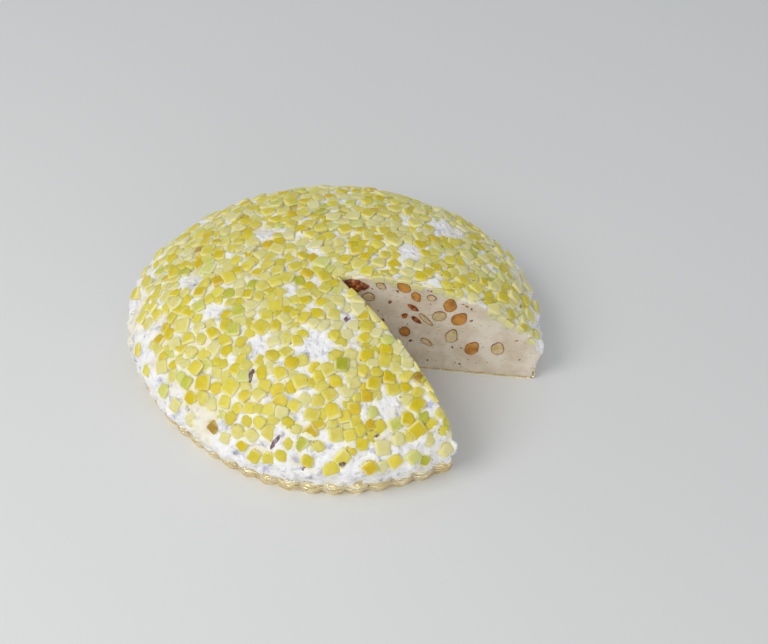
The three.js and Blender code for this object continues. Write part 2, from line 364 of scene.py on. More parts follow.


# Foil: pale satin gold, creased across the flutes where the card was pressed. Painted shade darkens it in the
# creases.
GOLD_BRIGHT = paint(255, 243, 208)
GOLD_DEEP = paint(238, 214, 156)
GOLD_PAINTED_SHADE = paint(128, 108, 66)
place, shader = new_finish("gold foil")
flattened = place.stretched(2.4)
crinkle = flattened.noise(6 * MM, 2, 0.5)
rubbed = place.noise(9 * MM, 3).step(0.35, 0.7)
folds = flattened.cells(8 * MM, "DISTANCE_TO_EDGE")
gold_foil = shader(
    # Painted shade darkens the foil in the creases.
    Base_Color=(place.marked("crease") * 0.3).blend(rubbed.blend(GOLD_DEEP, GOLD_BRIGHT), GOLD_PAINTED_SHADE),
    Metallic=0.75,
    Roughness=0.16 + 0.16 * crinkle,
    Normal=folds.step(0, 0.2).bump(0.4 * MM, crinkle.bump(1.8 * MM)),
)
wear(case, gold_foil)
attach(case, "root")
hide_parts("paper_case")


# ---- The nougat ----
# Honey, sugar and egg white beaten stiff and white, pressed into the case by hand, so that it
# bulges over the rim. Its skin is dry, dusty and wrinkled, its cut faces are smooth and cream.
BELLY_HEIGHT = 24
NOUGAT_HEIGHT = 79
TOP_FLATNESS = 2.8
SHOULDER_SOFTNESS = 1.32
RIM_TOP = 12.3
OVERHANG_RADIUS = 134.6
RIM_TUCK = 0.5
DOME_RINGS = 26
SIDE_RINGS = [0.97, 0.8, 0.55, 0.3]
FOOT_RADIUS = 131
FOOT_RING_HEIGHTS = (-1.2, 7.5)
NOUGAT_FOOT = 0.5 * MM
STEPS_A_SWAG = 4
SKIRT_STEPS = FLUTES * STEPS_A_SWAG
FIRST_GRAIN = 2.0 * MM
FINAL_GRAIN = 1.45 * MM


def between(low, high, share):
    return low + (high - low) * share


def dome_point(turn):
    """The outline from the centre of the top, at no turn, down to the belly, at a right angle."""
    return (BELLY_RADIUS * math.sin(turn) ** (2 / TOP_FLATNESS),
            BELLY_HEIGHT + (NOUGAT_HEIGHT - BELLY_HEIGHT) * max(0, math.cos(turn)) ** (2 / SHOULDER_SOFTNESS))


def side_point(share):
    """The outline from the belly, at 0, down to the case's rim, at 1."""
    return (between(OVERHANG_RADIUS, BELLY_RADIUS, math.sqrt(1 - share * share)),
            between(BELLY_HEIGHT, RIM_TOP, share))


def swag_step(place):
    """Which of the skirt's steps a place is at: 0 is over a crease, the middle step over a lobe."""
    return round(angle_of(place) / math.tau * SKIRT_STEPS) % STEPS_A_SWAG


nougat_rings = [(FOOT_RADIUS, height) for height in FOOT_RING_HEIGHTS]
nougat_rings += [(OVERHANG_RADIUS, RIM_TOP - RIM_TUCK)]
nougat_rings += [side_point(share) for share in SIDE_RINGS]
nougat_rings += [dome_point(math.radians(90) * ring / DOME_RINGS) for ring in range(DOME_RINGS, 0, -1)]

bpy.ops.mesh.primitive_circle_add(vertices=SKIRT_STEPS, radius=FOOT_RADIUS * MM, fill_type="NGON",
                                  location=MIDDLE + Vector((0, 0, nougat_rings[0][1] * MM)))
nougat = bpy.context.object
nougat.name = "nougat_body"
bpy.ops.object.transform_apply()
start_shaping(nougat)
bpy.ops.mesh.select_all(action="SELECT")
for (radius, height), (next_radius, next_height) in zip(nougat_rings, nougat_rings[1:]):
    raise_ring((next_height - height) * MM)
    widen(next_radius / radius)
raise_ring((NOUGAT_HEIGHT - nougat_rings[-1][1]) * MM)
bpy.ops.mesh.merge(type="CENTER")
# Its foot fills the flutes. Its skirt is drawn up and in at the creases, and hangs lowest and
# furthest out over the middle of each lobe, where nothing holds it up.
FOOT_TOP = 8 * MM
FLUTE_FILL = 3.4
SKIRT_INNER_RADIUS = 133.5 * MM
SKIRT_TOP = 15 * MM
CREASE_LIFT, LOBE_DROP = 2.5, 1.5
CREASE_TUCK, LOBE_BULGE = 1.3, 1.5
UPPER_SKIRT_TOP = 21 * MM
UPPER_CREASE_TUCK, UPPER_LOBE_BULGE = 0.4, 0.8
for step in range(STEPS_A_SWAG):
    hang = abs(math.sin(math.pi * step / STEPS_A_SWAG))
    pick(lambda vertex: swag_step(vertex.co) == step and vertex.co.z < FOOT_TOP)
    widen(1 + FLUTE_FILL * hang ** 2 / FOOT_RADIUS)
    pick(lambda vertex: swag_step(vertex.co) == step and radius_of(vertex.co) > SKIRT_INNER_RADIUS
         and vertex.co.z < SKIRT_TOP)
    bpy.ops.transform.translate(value=(0, 0, (CREASE_LIFT - LOBE_DROP * hang) * MM))
    widen(1 + (LOBE_BULGE * hang - CREASE_TUCK) / OVERHANG_RADIUS)
    pick(lambda vertex: swag_step(vertex.co) == step and SKIRT_TOP < vertex.co.z < UPPER_SKIRT_TOP)
    widen(1 + (UPPER_LOBE_BULGE * hang - UPPER_CREASE_TUCK) / OVERHANG_RADIUS)
# It isn't quite round.
for angle in each_spoke(SKIRT_STEPS):
    widen(swell(angle))
stop_shaping()
put_through(nougat, "REMESH", mode="VOXEL", voxel_size=FIRST_GRAIN)
put_through(nougat, "SMOOTH", factor=0.5, iterations=4)
start_shaping(nougat)
bpy.ops.mesh.select_all(action="SELECT")
bpy.ops.mesh.bisect(plane_co=(0, 0, NOUGAT_FOOT), plane_no=(0, 0, 1), use_fill=True, clear_inner=True)
stop_shaping()
# The skin's reliefs: [none of it at this height, all of it at that one].
LUMPS_FROM = (5 * MM, 16 * MM)
FOLDS_FROM = (6 * MM, 13 * MM)
FOLDS_UP_TO = (46 * MM, 32 * MM)
WRINKLES_FROM = (6 * MM, 12 * MM)
share_out(nougat, "skin", lambda vertex: rise(vertex.co.z, *LUMPS_FROM))
share_out(nougat, "rim", lambda vertex: rise(vertex.co.z, *FOLDS_FROM) * rise(vertex.co.z, *FOLDS_UP_TO))
# Broad swellings, lumps, and long folds low down.
relief(nougat, "CLOUDS", 30 * MM, 4 * MM, "skin", mid_level=0.42)
relief(nougat, "CLOUDS", 9 * MM, 4.2 * MM, "skin", mid_level=0.46)
relief(nougat, "WOOD", 14 * MM, 3.2 * MM, "rim", wood_type="RINGNOISE", turbulence=9)
cut_wedge(nougat)
put_through(nougat, "REMESH", mode="VOXEL", voxel_size=FINAL_GRAIN)
put_through(nougat, "SMOOTH", factor=0.5, iterations=1)


CUT_SLACK = 1.0 * MM
CUT_PAINT_SLACK = 1.6 * MM
TIP_REACH = 3 * MM
UPRIGHT = 0.5
FACES_GAP = 0.8


def on_cut(place, facing, slack=CUT_SLACK):
    """Whether a bit of the surface belongs to one of the two knife cuts."""
    from_tip = place - CUT_TIP
    if from_tip.xy.length < TIP_REACH and abs(facing.z) < UPRIGHT:
        return True
    return any(abs(from_tip.dot(gap)) < slack and facing.dot(gap) > FACES_GAP for gap in into_gap.values())


share_out(nougat, "wrinkled", lambda vertex: 0 if on_cut(vertex.co, vertex.normal)
          else rise(vertex.co.z, *WRINKLES_FROM))
share_out(nougat, "sliced", lambda vertex: 1 if on_cut(vertex.co, vertex.normal) else 0)
relief(nougat, "CLOUDS", 5 * MM, 3.8 * MM, "wrinkled", noise_depth=3)
relief(nougat, "CLOUDS", 7 * MM, 0.5 * MM, "sliced", mid_level=1, noise_depth=3)
bpy.ops.object.shade_smooth()

# The skin: dusted white, with bluish grey blurs: partly thin dust, partly painted shade.
SKIN_WHITE = paint(249, 247, 245)
SKIN_CREAM = paint(242, 235, 214)
SKIN_GREY_AND_SHADE = paint(188, 190, 208)
SKIN_DARK = paint(128, 112, 126)
PAINTED_DICE_GLOW = paint(240, 230, 150)
place, shader = new_finish("dusty nougat skin")
grey_and_shade_blur = place.noise(9 * MM, 4, 0.6).step(0.53, 0.68)
dots = place.noise(3.5 * MM, 3).step(0.6, 0.7)
cream = place.noise(26 * MM, 3).step(0.48, 0.66)
dust = place.noise(1.1 * MM, 3)
wrinkles = place.noise(4 * MM, 5, 0.6, noise_type="RIDGED_MULTIFRACTAL")
colour = cream.blend(SKIN_WHITE, SKIN_CREAM)
# Partly painted shade: the bluish grey blurs.
colour = (grey_and_shade_blur * 0.8).blend(colour, SKIN_GREY_AND_SHADE)
colour = (dots * grey_and_shade_blur * 0.8).blend(colour, SKIN_DARK)
# Painted light: a yellow glow round the dice.
colour = (place.marked("painted_dice_glow") * 0.65).blend(colour, PAINTED_DICE_GLOW)
nougat_skin = shader(
    Base_Color=colour,
    Roughness=0.82 + 0.1 * dust,
    Subsurface_Weight=0.15,
    Subsurface_Radius=(1.0, 0.9, 0.7),
    Subsurface_Scale=1.5 * MM,
    Specular_IOR_Level=0.3,
    Normal=wrinkles.bump(2.2 * MM, dust.bump(0.4 * MM)),
)

# The cut faces: cream, with small pits, and fine lines where the knife dragged. Painted shade darkens them.
# Both colours are darker and warmer than the nougat's own cream, part way to a cut in shade: partly painted
# shade.
CUT_CREAM = paint(228, 218, 200)
CUT_BEIGE_AND_SHADE = paint(210, 195, 170)
place, shader = new_finish("sliced nougat")
pits_and_pit_shade = place.cells(3.4 * MM, "F1").step(0.12, 0.3)
drag = place.stretched(0.12).noise(1.6 * MM, 3)
cloud = place.noise(18 * MM, 4).step(0.35, 0.7)
colour = cloud.blend(CUT_CREAM, CUT_BEIGE_AND_SHADE)
# Painted shade: the pits are darker.
colour = (pits_and_pit_shade * 0.25 + 0.75).blend(CUT_BEIGE_AND_SHADE, colour)
sliced_nougat = shader(
    Base_Color=colour,
    Roughness=0.6,
    Subsurface_Weight=0.2,
    Subsurface_Radius=(1.0, 0.8, 0.6),
    Subsurface_Scale=2 * MM,
    Specular_IOR_Level=0.35,
    Normal=pits_and_pit_shade.bump(0.3 * MM, drag.bump(0.15 * MM)),
)
wear(nougat, nougat_skin, sliced_nougat)
for face in nougat.data.polygons:
    face.material_index = 1 if on_cut(face.center, face.normal, CUT_PAINT_SLACK) else 0
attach(nougat, "root")
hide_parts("nougat")


# ---- Candied citron ----
# Peel boiled in syrup until it is half clear, cut into dice of about 9 mm and pressed into the
# skin while it was soft. The knife sliced the ones that lay across its way.

# The larger dice go in first: how many, from which size to which, the least distance between their
# middles in dice, from which height they begin and are dense, and how far they stay off bare spots.
DICE = 338
DICE_SIZES = (10, 8)
DICE_SPACING = 1.05
DICE_LOWEST = 20
DICE_DENSE = 48
DICE_MARGIN = 3.5
DICE_TRIES = DICE * 60
# The smaller ones fill in between them in the same way, and begin higher up at the back.
SMALL_DICE = 450
SMALL_SIZES = (9.4, 7)
SMALL_SPACING = 0.73
SMALL_LOWEST = 32
SMALL_DENSE = 62
SMALL_MARGIN = 0.5
SMALL_TRIES = 30000
BACK_HIGHER = 14
# How far they stand out of the skin, and their own shape.
DICE_TOP = 0.19
DICE_TOP_RANGE = (0.65, 1.2)
SMALL_TOP_RANGE = (0.2, 0.9)
DICE_SIDE_RANGE = (0.88, 1.08)
DICE_THICK = 0.62
DICE_LEAN = 14
DICE_SKEW = 0.16
DICE_CUT_AWAY = 3
# Where the skin stays bare: [x, y, radius].
BARE_SPOTS = [
    (-44, 36, 9), (79, 45, 13), (51, 11, 9), (-98, 3, 9), (-81, -30, 7), (-29, -22, 7), (7, -50, 6),
    (-51, -63, 8), (-16, -70, 11), (9, -70, 7), (30, -107, 8), (55, -106, 6), (-121, -23, 8),
    (-131, 12, 7), (95, -34, 5), (63, -15, 5), (5, 38, 4), (50, 48, 5),
]


def drawer(seed):
    """A seeded draw of numbers from 0 to 1."""
    factor, offset, states = 1664525, 1013904223, 2 ** 32
    state = seed
    while True:
        state = (state * factor + offset) % states
        yield state / states


DOME_STEPS = 240
SIDE_STEPS = 60
SIDE_END = 0.98
outline = [dome_point(math.radians(90) * step / DOME_STEPS) for step in range(DOME_STEPS + 1)]
outline += [side_point(step / SIDE_STEPS * SIDE_END) for step in range(1, SIDE_STEPS + 1)]
# How far down the outline each of its points is, from the centre of the top.
runs = [0]
for a, b in zip(outline, outline[1:]):
    runs.append(runs[-1] + math.dist(a, b))


def skin_at(run, angle):
    """The place on the skin this far down the outline, the way it faces, and its ring's share."""
    step = max(1, next(number for number, length in enumerate(runs) if length >= run))
    a, b = Vector(outline[step - 1]), Vector(outline[step])
    point = a.lerp(b, (run - runs[step - 1]) / (runs[step] - runs[step - 1]))
    slope = (b - a).normalized()
    radius = point.x * swell(angle)
    return (Vector((radius * math.cos(angle), radius * math.sin(angle), point.y)),
            Vector((-slope.y * math.cos(angle), -slope.y * math.sin(angle), slope.x)), point.x / BELLY_RADIUS)


def is_bare(place, margin):
    return any(math.dist(place.xy, spot[:2]) < spot[2] + margin for spot in BARE_SPOTS)


def in_cake_frame(place):
    """A place that is given from the cake's middle in millimetres, in metres and in the row's frame."""
    return MIDDLE + place * MM


draw = drawer(seed=20241)
# Each die that has its place: [its place on the skin, the way the skin faces there, its size].
placed = []


def scatter(count, sizes, spacing, tries, lowest, dense, margin, back_higher=0):
    """Adds dice from the largest to the smallest wherever there is room for one more."""
    first = len(placed)
    for _ in range(tries):
        if len(placed) == first + count:
            break
        size = between(*sizes, (len(placed) - first) / count)
        run, angle = next(draw) * runs[-1], (next(draw) * 2 - 1) * math.pi
        spot, facing, ring_share = skin_at(run, angle)
        higher = back_higher * max(0, math.sin(angle))
        if next(draw) > ring_share * rise(spot.z, lowest + higher, dense + higher):
            continue
        if is_bare(spot, margin) or depth_in_gap(in_cake_frame(spot)) > DICE_CUT_AWAY * MM:
            continue
        if all((other - spot).length >= spacing * (its + size) / 2 for other, _, its in placed):
            placed.append((spot, facing, size))


scatter(DICE, DICE_SIZES, DICE_SPACING, DICE_TRIES, DICE_LOWEST, DICE_DENSE, DICE_MARGIN)
scatter(SMALL_DICE, SMALL_SIZES, SMALL_SPACING, SMALL_TRIES, SMALL_LOWEST, SMALL_DENSE, SMALL_MARGIN,
        BACK_HIGHER)
# Dice that were pressed in one by one, low down at the front: [x, y].
FRONT_DICE = [(-73, -107), (-63, -114), (-47, -124), (-39, -125), (23, -133), (50, -128)]
FRONT_SIZE = 8
FRONT_SPACING = 0.85
RIM_MARGIN = 0.1
for x, y in FRONT_DICE:
    angle = math.atan2(y, x)
    ring = min(math.hypot(x, y) / swell(angle), BELLY_RADIUS - RIM_MARGIN)
    run = runs[next(number for number, point in enumerate(outline) if point[0] >= ring)]
    spot, facing, _ = skin_at(run, angle)
    if all((other - spot).length >= FRONT_SPACING * (its + FRONT_SIZE) / 2 for other, _, its in placed):
        placed.append((spot, facing, FRONT_SIZE))

# Each die is seated on the nougat as it really is there, lumps and all. Five rays find the lumps,
# one under its middle and four this far along both of its sides, in dice. They start this high above
# the skin and reach this deep. Then come the range that a lump is kept within, and where the die
# sits: 0 is at the mean of its lumps, 1 is on the highest.
SEAT_WAYS = [(0, 0, 0), (1, 1, 0), (-1, 1, 0), (-1, -1, 0), (1, -1, 0)]
SEAT_OUT = 0.35
SEAT_FROM = 8
SEAT_DEPTH = 16
LOWEST_LUMP, HIGHEST_LUMP = -1.5, 2
SEAT_SHARE = 0.4
shape_draw = drawer(seed=309)
height_draw = drawer(seed=77)
die_places = []
for number, (spot, facing, size) in enumerate(placed):
    length, width, height = (size * between(*DICE_SIDE_RANGE, next(shape_draw)) for _ in range(3))
    skew_x, skew_y = (between(-DICE_SKEW, DICE_SKEW, next(shape_draw)) for _ in range(2))
    turned = Matrix.Rotation(next(shape_draw) * math.pi / 2, 4, "Z")
    lean_way = next(shape_draw) * math.tau
    lean = Quaternion((math.cos(lean_way), math.sin(lean_way), 0), math.radians(next(shape_draw) * DICE_LEAN))
    stood = (Vector((0, 0, 1)).rotation_difference(facing) @ lean).to_matrix().to_4x4()
    skew = Matrix(((1, 0, skew_x, 0), (0, 1, skew_y, 0), (0, 0, 1, 0), (0, 0, 0, 1)))
    sized = Matrix.Diagonal((length * MM, width * MM, height * DICE_THICK * MM, 1))
    top_range = DICE_TOP_RANGE if number < DICE else SMALL_TOP_RANGE
    top = DICE_TOP * between(*top_range, next(height_draw))
    middle = in_cake_frame(spot + facing * (top - height / size * DICE_THICK / 2) * size)
    lumps = []
    for way in SEAT_WAYS:
        above = spot + stood @ Vector(way) * size * SEAT_OUT + facing * SEAT_FROM
        hit, where, _, _ = nougat.ray_cast(in_cake_frame(above), -facing, distance=SEAT_DEPTH * MM)
        if hit:
            lump = (where - in_cake_frame(spot)).dot(facing) / MM
            lumps.append(max(LOWEST_LUMP, min(HIGHEST_LUMP, lump)))
    if lumps:
        middle += facing * between(sum(lumps) / len(lumps), max(lumps), SEAT_SHARE) * MM
    die_places.append(Matrix.Translation(middle) @ stood @ turned @ skew @ sized)

# Painted light: a yellow glow on the skin close round the dice, from just under their edges outwards.
GLOW_REACH = (-0.6, 1.2)
NEAREST_DICE = 3
dice_finder = KDTree(len(placed))
for number, (spot, _, _) in enumerate(placed):
    dice_finder.insert(in_cake_frame(spot), number)
dice_finder.balance()
glow_shares = []
for vertex in nougat.data.vertices:
    near = dice_finder.find_n(vertex.co, NEAREST_DICE)
    edges = [distance / MM - placed[number][2] / 2 for _, number, distance in near]
    glow_shares.append(1 - rise(min(edges), *GLOW_REACH))
mark(nougat, "painted_dice_glow", glow_shares)

# Dice that were cut by hand: no corner is square, and boiling has rounded them.
DIE_SHAPES = 9
CORNER_SHIFT = 0.21
CORNERS = [(1, 1), (-1, 1), (-1, -1), (1, -1)]
SLANT_CUT = 0.3
ROUNDING, MORE_ROUNDING = 0.18, 0.02
SIDE_AREA = 0.12
SIDE_INSET = 0.11
die_models = []
for number in range(DIE_SHAPES):
    bpy.ops.mesh.primitive_cube_add(size=1)
    model = bpy.context.object
    start_shaping(model)
    bpy.ops.mesh.select_all(action="SELECT")
    bpy.ops.transform.vertex_random(offset=CORNER_SHIFT, uniform=0, normal=0, seed=number + 1)
    # None, one or two of its upright edges are cut off slantwise, the others are only rounded.
    slants = number % 3
    for x, y in CORNERS[:slants]:
        pick(lambda edge: all(end.co.x * x > 0 and end.co.y * y > 0 for end in edge.verts), "edges")
        bpy.ops.mesh.bevel(offset=SLANT_CUT, segments=1, affect="EDGES")
    bpy.ops.mesh.select_all(action="SELECT")
    bpy.ops.mesh.bevel(offset=ROUNDING + MORE_ROUNDING * slants, segments=2, affect="EDGES")
    pick(lambda face: face.calc_area() > SIDE_AREA, "faces")
    bpy.ops.mesh.inset(thickness=SIDE_INSET, use_individual=True)
    stop_shaping()
    bpy.ops.object.shade_smooth()
    # How near each corner is to the block's sides, where it is thin and clearest, and painted light pales it.
    mark(model, "rim", [max(abs(vertex.co.x), abs(vertex.co.y)) * 2 for vertex in model.data.vertices])
    die_models.append(model)

# The kinds of dice, and how much of all each is. The browned ones are only those named below.
CITRON_KINDS = {"pale": 0.55, "yellow": 0.33, "amber": 0.07, "green": 0.05, "browned": 0}
KIND_MARKS = {kind: number / (len(CITRON_KINDS) - 1) for number, kind in enumerate(CITRON_KINDS)}
KIND_SEED = 7
# Towards the far right fewer are yellow or amber: by how much, and from where to where.
PALER = 0.75
PALER_RANGE = (20, 140)
kind_draw = random.Random(KIND_SEED)
kind_of_die = []
for spot, _, _ in placed:
    paler = 1 - PALER * rise(spot.x + spot.y, *PALER_RANGE)
    odds = [odd * (paler if kind in ("yellow", "amber") else 1) for kind, odd in CITRON_KINDS.items()]
    kind_of_die += kind_draw.choices(list(CITRON_KINDS), odds)
# Dice whose colour stands out: [x, y, kind].
ACCENTS = [
    (-113, 17, "amber"), (-57, 13, "amber"), (20, 61, "amber"), (29, 30, "amber"), (79, -15, "amber"),
    (-57, -15, "green"), (-3, -28, "green"), (-110, -64, "green"), (-38, 79, "green"), (-4, 57, "green"),
    (-33, 44, "green"), (97, 29, "green"), (101, -1, "green"), (-73, -96, "green"),
    (-88, 30, "browned"), (47, -90, "browned"), (-84, -95, "browned"), (-25, 65, "browned"),
    (3, -129, "amber"), (11, -134, "amber"), (34, -128, "amber"), (40, -130, "green"), (50, -128, "green"),
]
for x, y, kind in ACCENTS:
    nearest = min(range(len(placed)), key=lambda number: math.dist(placed[number][0].xy, (x, y)))
    kind_of_die[nearest] = kind

# Dice that touch go to different batches, so that each batch is made of separate blocks.
BATCHES = 6
TOUCHING = 1.5
batch_of_die = []
for spot, _, size in placed:
    near = [batch_of_die[other] for other in range(len(batch_of_die))
            if (placed[other][0] - spot).length < TOUCHING * (placed[other][2] + size) / 2]
    batch_of_die.append(min(range(BATCHES), key=lambda batch: (near.count(batch), batch_of_die.count(batch))))


def add(name, data):
    """Adds a piece with this data to the scene."""
    piece = bpy.data.objects.new(name, data)
    bpy.context.scene.collection.objects.link(piece)
    return piece


def join(pieces, name):
    """Makes one piece of several."""
    take(*pieces)
    bpy.ops.object.join()
    bpy.context.object.name = name
    return bpy.context.object


# Dice this near to the cuts may be sliced. Each springs back from the cut by a hair of its own.
KNIFE_NEAR = 9 * MM
SPRING_BACK = (0.1, 0.4)
batches = [[] for _ in range(BATCHES)]
for matrix, kind, batch in zip(die_places, kind_of_die, batch_of_die):
    die = add("die", kind_draw.choice(die_models).data.copy())
    die.data.transform(matrix)
    for name, value in (("tone", kind_draw.random()), ("kind", KIND_MARKS[kind])):
        mark(die, name, [value] * len(die.data.vertices))
    if depth_in_gap(matrix.translation) > -KNIFE_NEAR:
        sprung = kind_draw.uniform(*SPRING_BACK)
        knife.location = CUT_TIP + (into_gap["right"] + into_gap["left"]) * sprung * MM
        cut_wedge(die)
    if die.data.polygons:
        batches[batch].append(die)
    else:
        bpy.data.objects.remove(die)
for model in die_models:
    bpy.data.objects.remove(model)

# Half clear: cloudy and paler in some places, deeper in colour in others, and no two the same.
# [Where it is clear, most of it, where it is deepest.]
CITRON_COLOURS = {
    "pale": [(228, 221, 166), (223, 212, 100), (214, 197, 34)],
    "yellow": [(228, 216, 100), (223, 206, 26), (214, 190, 2)],
    "amber": [(230, 216, 90), (222, 198, 28), (210, 178, 6)],
    "green": [(218, 219, 138), (206, 206, 78), (180, 180, 34)],
    "browned": [(214, 198, 98), (196, 172, 60), (150, 100, 32)],
}
CITRON_EDGE_AND_PAINTED_LIGHT = paint(240, 234, 190)
place, shader = new_finish("candied citron")
tone, rim, kind = (place.marked(name) for name in ("tone", "rim", "kind"))
clear, body, deep = (
    place.node("ValToRGB", {"stops": [(KIND_MARKS[name], paint(*colours[depth]))
                                      for name, colours in CITRON_COLOURS.items()]}, {"Fac": kind})
    for depth in range(3))
cloud = place.noise(5 * MM, 4)
grain = place.noise(0.9 * MM, 3)
colour = (cloud + tone * 0.7).step(0.4, 1.1).blend(clear, body)
colour = (cloud * 0.8 + tone * 0.9).step(0.75, 1.45).blend(colour, deep)
# Paler sides: thin edges show the white nougat, and painted light lifts the shade between dice.
colour = ((rim + cloud * 0.5).step(0.95, 1.35) * 0.7).blend(colour, CITRON_EDGE_AND_PAINTED_LIGHT)
candied = shader(
    Base_Color=colour,
    Roughness=0.4 + 0.2 * grain,
    Subsurface_Weight=1,
    Subsurface_Radius=(1.0, 0.85, 0.4),
    Subsurface_Scale=2.2 * MM,
    Specular_IOR_Level=0.4,
    Normal=grain.bump(0.08 * MM, cloud.bump(0.6 * MM)),
)
for number, dice in enumerate(batches):
    citron = join(dice, f"citron_{number + 1}")
    wear(citron, candied)
    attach(citron, "root")
    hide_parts("nougat")


# ---- Almonds ----
# Toasted whole almonds that the knife sliced: cream to amber flesh in a thin brown skin, flush
# with the cut. Two weren't sliced, and stand out of the nougat in their wrinkled skin.
WHOLE_ALMONDS = {"almond_right_01", "almond_left_09"}
BROWN_SLIVERS = {"almond_right_11", "almond_right_12", "almond_right_13"}
AMBER_ALMONDS = {"almond_right_03", "almond_right_05", "almond_right_07", "almond_right_09",
                 "almond_right_14", "almond_right_16", "almond_right_19", "almond_left_03",
                 "almond_left_06", "almond_left_12"}
SKIN_RING = 0.4 * MM
# Rounding makes a whole almond smaller, so it is brought back by this much each way.
ROUNDED_BACK = (1.1, 1.1, 1.22)
ALMOND_WELD = 0.02 * MM
ALMOND_PROUD = 0.15 * MM
ALMOND_THICKNESS = 0.42
ALMOND_POINT = 0.3
ALMOND_SHARP_DEGREES = 50
ON_CUT_PLANE = 0.05 * MM
# The cut face of a sliced almond is the only one with more than this many corners.
SMALL_FACE = 8
ALONG_CUT_FACE = 0.99

TOASTED_DARK = paint(104, 46, 14)
TOASTED_LIGHT = paint(198, 112, 36)
# [Most of the flesh, its darker clouds.]
ALMOND_FLESH = {
    "pale": (paint(216, 198, 154), paint(196, 168, 112)),
    "amber": (paint(208, 150, 64), paint(166, 104, 34)),
}
place, shader = new_finish("toasted almond skin")
ridges = place.noise(1.8 * MM, 5, 0.65, noise_type="RIDGED_MULTIFRACTAL")
patches = place.noise(3 * MM, 4).step(0.42, 0.66)
toasted_skin = shader(
    Base_Color=patches.blend(TOASTED_DARK, TOASTED_LIGHT),
    Roughness=0.5 + 0.2 * ridges,
    Normal=ridges.bump(0.4 * MM),
)
flesh_finishes = {}
for kind, (light, dark) in ALMOND_FLESH.items():
    place, shader = new_finish(kind + " almond flesh")
    cloud = place.noise(5 * MM, 4)
    grain = place.noise(0.7 * MM, 3)
    flesh_finishes[kind] = shader(
        Base_Color=cloud.step(0.35, 0.7).blend(light, dark),
        Roughness=0.45 + 0.2 * grain,
        Subsurface_Weight=0.15,
        Subsurface_Radius=(1.0, 0.7, 0.3),
        Subsurface_Scale=1.5 * MM,
        Normal=grain.bump(0.08 * MM, cloud.bump(0.2 * MM)),
    )

# One good almond, two units long, its point towards +X.
ALMOND_SEGMENTS, ALMOND_RINGS = 28, 18
SAME_RING = 0.01
bpy.ops.mesh.primitive_uv_sphere_add(segments=ALMOND_SEGMENTS, ring_count=ALMOND_RINGS, radius=1,
                                     rotation=(0, math.radians(90), 0))
whole_almond = bpy.context.object
bpy.ops.object.transform_apply()
start_shaping(whole_almond)
ahead = (vertex.co.x for vertex in whole_almond.data.vertices if vertex.co.x > SAME_RING)
for ring in sorted({round(x, 3) for x in ahead}):
    pick(lambda vertex: abs(vertex.co.x - ring) < SAME_RING)
    narrow = 1 - ALMOND_POINT * ring
    bpy.ops.transform.resize(value=(1, narrow, narrow), center_override=(0, 0, 0))
stop_shaping()


def cut_face(node, gap):
    """An almond's cut face: its middle, the way its length runs, and half its length and width."""
    flat = [vertex.co for vertex in node.data.vertices if abs((vertex.co - CUT_TIP).dot(gap)) < ON_CUT_PLANE]
    a, b = max(((a, b) for a in flat for b in flat), key=lambda pair: (pair[0] - pair[1]).length)
    length_way = (b - a).normalized()
    width_way = gap.cross(length_way)
    across = [(corner - a).dot(width_way) for corner in flat]
    middle = (a + b) / 2 + width_way * (min(across) + max(across)) / 2
    return middle, length_way, (b - a).length / 2, (max(across) - min(across)) / 2


for name, node in sorted(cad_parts.items()):
    if not name.startswith("almond"):
        continue
    gap = into_gap["right" if "right" in name else "left"]
    if name in WHOLE_ALMONDS:
        almond = add("nut", node.data.copy())
        start_shaping(almond)
        bpy.ops.mesh.select_all(action="SELECT")
        bpy.ops.mesh.remove_doubles(threshold=ALMOND_WELD)
        stop_shaping()
        put_through(almond, "SUBSURF", levels=4, render_levels=4)
        middle = sum((vertex.co for vertex in almond.data.vertices), Vector()) / len(almond.data.vertices)
        larger = Matrix.Diagonal((*ROUNDED_BACK, 1))
        almond.data.transform(Matrix.Translation(middle) @ larger @ Matrix.Translation(-middle))
        relief(almond, "CLOUDS", 4 * MM, 2.2 * MM, mid_level=0.45, noise_depth=2)
        relief(almond, "CLOUDS", 1.2 * MM, 0.7 * MM, noise_depth=2)
        wear(almond, toasted_skin)
    else:
        middle, length_way, half_length, half_width = cut_face(node, gap)
        almond = add("nut", whole_almond.data.copy())
        axes = Matrix((length_way * half_length, gap * half_length * ALMOND_THICKNESS,
                       length_way.cross(gap) * half_width)).transposed().to_4x4()
        almond.data.transform(Matrix.Translation(middle) @ axes)
        relief(almond, "CLOUDS", 6 * MM, 1.2 * MM, noise_depth=2)
        start_shaping(almond)
        bpy.ops.mesh.select_all(action="SELECT")
        bpy.ops.mesh.bisect(plane_co=middle + gap * ALMOND_PROUD, plane_no=gap, use_fill=True,
                            clear_outer=True)
        pick(lambda face: face.normal.dot(gap) > ALONG_CUT_FACE and len(face.verts) > SMALL_FACE, "faces")
        bpy.ops.mesh.inset(thickness=SKIN_RING, use_even_offset=True)
        bpy.context.object.data.update()
        stop_shaping()
        kind = "amber" if name in AMBER_ALMONDS else "pale"
        wear(almond, toasted_skin, toasted_skin if name in BROWN_SLIVERS else flesh_finishes[kind])
        for face in almond.data.polygons:
            face.material_index = 1 if len(face.vertices) > SMALL_FACE else 0
    almond.name = "nut_" + name.removeprefix("almond_")
    take(almond)
    bpy.ops.object.shade_smooth_by_angle(angle=math.radians(ALMOND_SHARP_DEGREES))
    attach(almond, "root")
    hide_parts(name)
    "almond_skin" if name in WHOLE_ALMONDS | BROWN_SLIVERS else "almond"
bpy.data.objects.remove(whole_almond)


